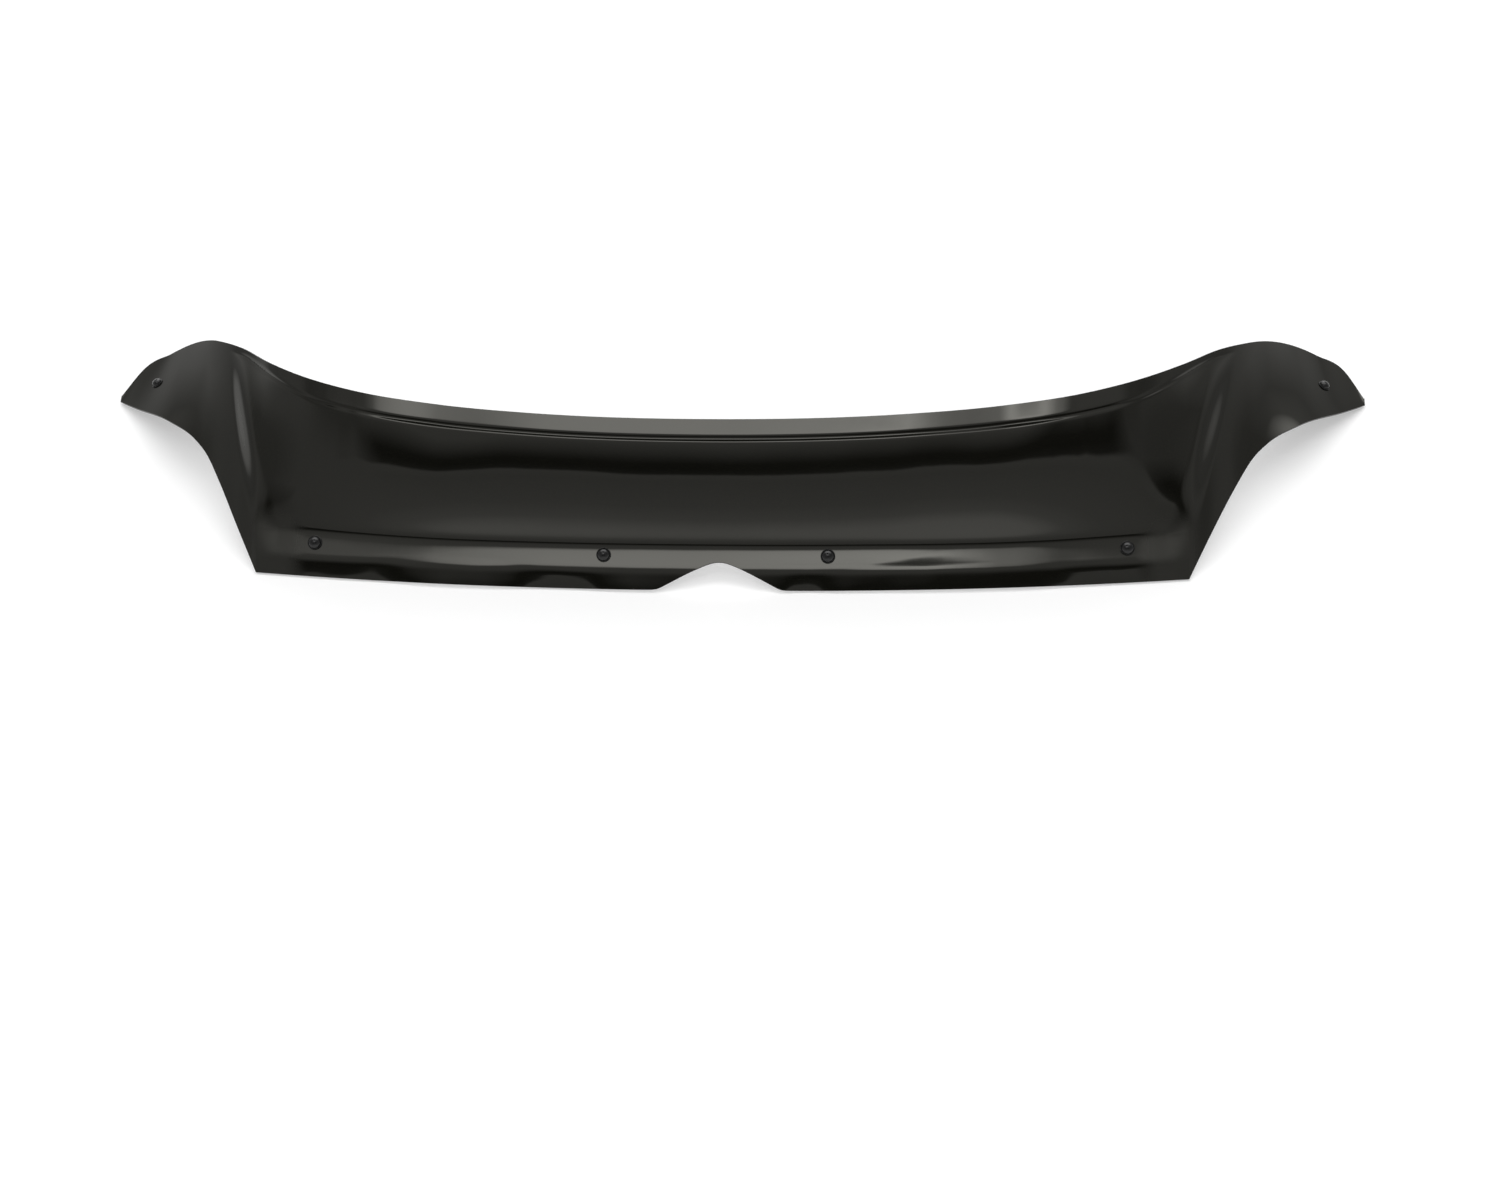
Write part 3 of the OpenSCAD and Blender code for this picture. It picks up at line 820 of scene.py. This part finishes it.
def place_camera():
    yaw, high, roll = (math.radians(v) for v in (YAW, ELEVATION, ROLL))
    back = Vector((math.sin(yaw) * math.cos(high), -math.cos(yaw) * math.cos(high), math.sin(high)))
    flat = Vector((math.cos(yaw), math.sin(yaw), 0))
    up = back.cross(flat)
    right = flat * math.cos(roll) + up * math.sin(roll)
    upward = -flat * math.sin(roll) + up * math.cos(roll)
    data = bpy.data.cameras.new("camera")
    data.sensor_fit = "HORIZONTAL"
    data.sensor_width = SENSOR_WIDTH
    data.lens = FOCAL_SHARE * DISTANCE / PHOTO_WIDTH * SENSOR_WIDTH
    data.clip_end = 50
    cam = bpy.data.objects.new("camera", data)
    place = (back * DISTANCE - right * SHIFT_X - upward * SHIFT_Y) / 1000
    turn = Matrix((right, upward, back)).transposed().to_4x4()
    cam.matrix_world = Matrix.Translation(place) @ turn
    scene.collection.objects.link(cam)
    scene.camera = cam


place_camera()


# Floor: white to the camera, and it keeps the object's shadow
FLOOR_GLOW = 0.37
FLOOR_HALF = 12.0
FLOOR_DROP = 0.0002


def floor():
    mesh = bpy.data.meshes.new("floor")
    r = FLOOR_HALF
    mesh.from_pydata([(-r, -r, 0), (r, -r, 0), (r, r, 0), (-r, r, 0)], [], [(0, 1, 2, 3)])
    obj = bpy.data.objects.new("floor", mesh)
    obj.location.z = cad_box[0][2] - FLOOR_DROP
    scene.collection.objects.link(obj)
    made, tree, shader = new_material("floor_white")
    tone = blend_colour(tree, noise(tree, object_coords(tree), 3.0), (0.66, 0.66, 0.66), (0.68, 0.68, 0.68))
    tree.links.new(tone, shader.inputs["Base Color"])
    rays = tree.nodes.new("ShaderNodeLightPath")
    seen = math_node(tree, "MAXIMUM", rays.outputs["Is Camera Ray"], rays.outputs["Is Glossy Ray"])
    seen = math_node(tree, "MAXIMUM", seen, rays.outputs["Is Transmission Ray"])
    shader.inputs["Emission Color"].default_value = (1, 1, 1, 1)
    tree.links.new(math_node(tree, "MULTIPLY", seen, FLOOR_GLOW), shader.inputs["Emission Strength"])
    shader.inputs["Roughness"].default_value = 0.9
    shader.inputs["Specular IOR Level"].default_value = 0.0
    assign(obj, made)


floor()

# Studio: tones by direction, as large soft panels and dark gaps give them on a glossy surface
FRONT_STOPS = [
    (0.0, 1.5), (0.17, 1.25), (0.25, 0.78), (0.36, 0.6), (0.56, 0.5), (0.605, 0.55), (0.618, 0.10),
    (0.655, 0.05), (0.69, 0.06), (0.72, 0.16), (0.75, 0.30), (0.81, 0.55), (0.88, 0.6), (0.93, 0.7),
    (0.96, 0.5), (0.972, 0.1), (1.0, 0.08)]
# How much higher or lower the front's panels hang from left to right: place, rise over LIFT_BASE
FRONT_LIFT = [
    (0.0, 0.02), (0.2, 0.015), (0.27, 0.06), (0.33, 0.1), (0.42, 0.09), (0.5, 0.1), (0.57, 0.165), (0.61, 0.17),
    (0.66, 0.13), (0.73, 0.095), (0.88, 0.1), (1.0, 0.15)]
FRONT_REACH = 0.75
LIFT_BASE = 0.1
STRIP_STOPS = [(0.0, 0.0), (0.9, 0.0), (0.922, 3.6), (0.95, 4.3), (0.958, 4.2), (0.966, 0.0), (1.0, 0.0)]
# The strip light across the studio: place from left to right, share
STRIP_ACROSS = [
    (0.0, 0.18), (0.06, 0.5), (0.2, 0.78), (0.33, 0.78), (0.5, 0.9), (0.58, 1.0), (0.65, 0.42),
    (0.72, 0.28), (0.82, 0.15), (1.0, 0.03)]
STRIP_REACH = 0.3
SIDE_STOPS = [(0.0, 0.8), (0.3, 0.6), (0.55, 0.5), (0.64, 0.36), (0.7, 0.34), (0.8, 0.4), (1.0, 0.3)]
REAR_STOPS = [(0.0, 0.85), (0.35, 0.85), (0.6, 0.5), (0.74, 0.7), (0.82, 3.3), (0.97, 3.5), (1.0, 2.0)]
# A panel low behind the object draws its soft shadow to the front
BACK_STOPS = [(0.0, 0.0), (0.38, 0.0), (0.46, 4.2), (0.62, 4.2), (0.7, 0.0), (1.0, 0.0)]
# Level of the dark gap at the far left and right
GAP_LEVEL = 0.4
# Where one part of the studio gives way to the next, as directions from and to
STRIP_RISE_X = (0.03, 0.25)
STRIP_RISE = 0.077
SIDE_X_RANGE = (0.41, 0.53)
PANEL_X_RANGE = (0.26, 0.38)
REAR_Y_RANGE = (0.05, 0.3)
GAP_X_RANGE = (0.86, 0.95)
HORIZON_Z_RANGE = (0.05, 0.14)


def ramp_of(tree, value, stops):
    made = tree.nodes.new("ShaderNodeValToRGB")
    elements = made.color_ramp.elements
    peak = max(tone for place, tone in stops)
    elements[0].position = stops[0][0]
    elements[0].color = (stops[0][1] / peak,) * 3 + (1,)
    elements[1].position = stops[-1][0]
    elements[1].color = (stops[-1][1] / peak,) * 3 + (1,)
    for position, tone in stops[1:-1]:
        element = elements.new(position)
        element.color = (tone / peak,) * 3 + (1,)
    tree.links.new(value, made.inputs["Fac"])
    return join_tones(tree, "MULTIPLY", 1.0, made.outputs["Color"], (peak, peak, peak, 1))


def studio_world():
    world = bpy.data.worlds.new("studio")
    scene.world = world
    world.use_nodes = True
    tree = world.node_tree
    tree.nodes.clear()
    out = tree.nodes.new("ShaderNodeOutputWorld")
    back = tree.nodes.new("ShaderNodeBackground")
    coords = tree.nodes.new("ShaderNodeTexCoord").outputs["Generated"]
    split = tree.nodes.new("ShaderNodeSeparateXYZ")
    tree.links.new(coords, split.inputs[0])
    aside = math_node(tree, "ABSOLUTE", split.outputs["X"])
    place = remap(tree, split.outputs["X"], -FRONT_REACH, FRONT_REACH, 0, 1)
    lift = math_node(tree, "SUBTRACT", ramp_of(tree, place, FRONT_LIFT), LIFT_BASE)
    front = ramp_of(tree, math_node(tree, "SUBTRACT", split.outputs["Z"], lift), FRONT_STOPS)
    # To the right the strip light hangs a little higher
    rise = remap(tree, split.outputs["X"], *STRIP_RISE_X, 0, STRIP_RISE)
    strip = ramp_of(tree, math_node(tree, "SUBTRACT", split.outputs["Z"], rise), STRIP_STOPS)
    across = remap(tree, split.outputs["X"], -STRIP_REACH, STRIP_REACH, 0, 1)
    strip = join_tones(tree, "MULTIPLY", 1.0, strip, ramp_of(tree, across, STRIP_ACROSS))
    front = join_tones(tree, "ADD", 1.0, front, strip)
    side = ramp_of(tree, split.outputs["Z"], SIDE_STOPS)
    front = join_tones(tree, "MIX", remap(tree, aside, *SIDE_X_RANGE, 0, 1), front, side)
    rear = ramp_of(tree, split.outputs["Z"], REAR_STOPS)
    panel = ramp_of(tree, split.outputs["Z"], BACK_STOPS)
    rear = join_tones(tree, "ADD", remap(tree, aside, *PANEL_X_RANGE, 1, 0), rear, panel)
    whole = join_tones(tree, "MIX", remap(tree, split.outputs["Y"], *REAR_Y_RANGE, 0, 1), front, rear)
    gap = (GAP_LEVEL, GAP_LEVEL, GAP_LEVEL, 1)
    whole = join_tones(tree, "MIX", remap(tree, aside, *GAP_X_RANGE, 0, 1), whole, gap)
    # A pale band along the horizon closes the studio behind the floor
    horizon = remap(tree, split.outputs["Z"], *HORIZON_Z_RANGE, 1, 0)
    whole = join_tones(tree, "MIX", horizon, whole, (1, 1, 1, 1))
    tree.links.new(whole, back.inputs["Color"])
    tree.links.new(back.outputs[0], out.inputs["Surface"])


studio_world()

scene.view_settings.view_transform = "Standard"
